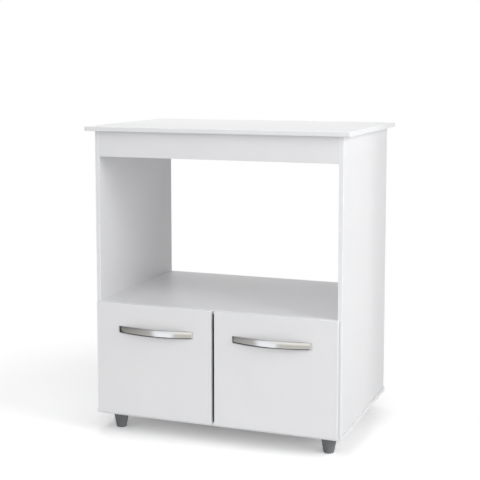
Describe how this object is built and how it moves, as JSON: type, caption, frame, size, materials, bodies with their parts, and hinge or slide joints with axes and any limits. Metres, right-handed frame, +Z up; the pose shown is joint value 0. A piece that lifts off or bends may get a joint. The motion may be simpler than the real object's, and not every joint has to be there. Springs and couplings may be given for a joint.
{
  "type": "microwave cabinet",
  "caption": "Kitchen cabinet for a microwave on top and an oven in its open niche, over a cupboard with hinged doors and bow handles, on tapered plastic feet.",
  "frame": {"origin": "on the floor, in the middle of the footprint with the doors closed and the handles counted in", "axes": "+Z up, -Y out of the front, +X to the right of someone who faces the front"},
  "size_m": [0.745, 0.518, 0.85],
  "materials": {
    "white_board": "white melamine-faced particleboard with white edge band, satin",
    "hardboard": "thin hardboard, white lacquered inside and brown behind",
    "grey_plastic": "moulded grey plastic, fine grain",
    "satin_metal": "die-cast metal, satin chrome plated",
    "hinge_steel": "nickel-plated pressed steel",
    "zinc_steel": "zinc-plated steel",
    "cam_zinc": "die-cast zinc",
    "beech": "beech dowel",
    "bumper_pad": "soft white pad"
  },
  "bodies": {
    "cabinet": {"base_board": "white_board", "left_side": "white_board", "right_side": "white_board", "niche_shelf": "white_board", "front_rail": "white_board", "rear_rail": "white_board", "top_board": "white_board", "back_panel": "hardboard", "foot_front_left": "grey_plastic", "foot_front_right": "grey_plastic", "foot_rear_left": "grey_plastic", "foot_rear_right": "grey_plastic", "hinge_arm_left_upper": "hinge_steel", "hinge_arm_left_lower": "hinge_steel", "hinge_arm_right_upper": "hinge_steel", "hinge_arm_right_lower": "hinge_steel", "hinge_plate_left_upper": "hinge_steel", "hinge_plate_left_lower": "hinge_steel", "hinge_plate_right_upper": "hinge_steel", "hinge_plate_right_lower": "hinge_steel", "foot_screws": "zinc_steel", "plate_screws": "zinc_steel", "arm_screws": "zinc_steel", "cam_bolts": "zinc_steel", "base_screws_long": "zinc_steel", "back_nails": "zinc_steel", "cam_discs": "cam_zinc", "dowels": "beech", "door_bumpers": "bumper_pad"},
    "left_door_leaf": {"left_door": "white_board", "left_handle": "satin_metal", "left_handle_screws": "zinc_steel", "hinge_cup_left_upper": "hinge_steel", "hinge_cup_left_lower": "hinge_steel", "hinge_pin_left_upper": "zinc_steel", "hinge_pin_left_lower": "zinc_steel", "left_cup_screws": "zinc_steel"},
    "right_door_leaf": {"right_door": "white_board", "right_handle": "satin_metal", "right_handle_screws": "zinc_steel", "hinge_cup_right_upper": "hinge_steel", "hinge_cup_right_lower": "hinge_steel", "hinge_pin_right_upper": "zinc_steel", "hinge_pin_right_lower": "zinc_steel", "right_cup_screws": "zinc_steel"}
  },
  "joints": [
    {"name": "left_door_hinge", "type": "hinge", "parent": "cabinet", "child": "left_door_leaf", "pos_m": [-0.3367, -0.2335, 0.2135], "axis": [0, 0, -1], "range_deg": [0, 95]},
    {"name": "right_door_hinge", "type": "hinge", "parent": "cabinet", "child": "right_door_leaf", "pos_m": [0.3367, -0.2335, 0.2135], "axis": [0, 0, 1], "range_deg": [0, 95]}
  ]
}
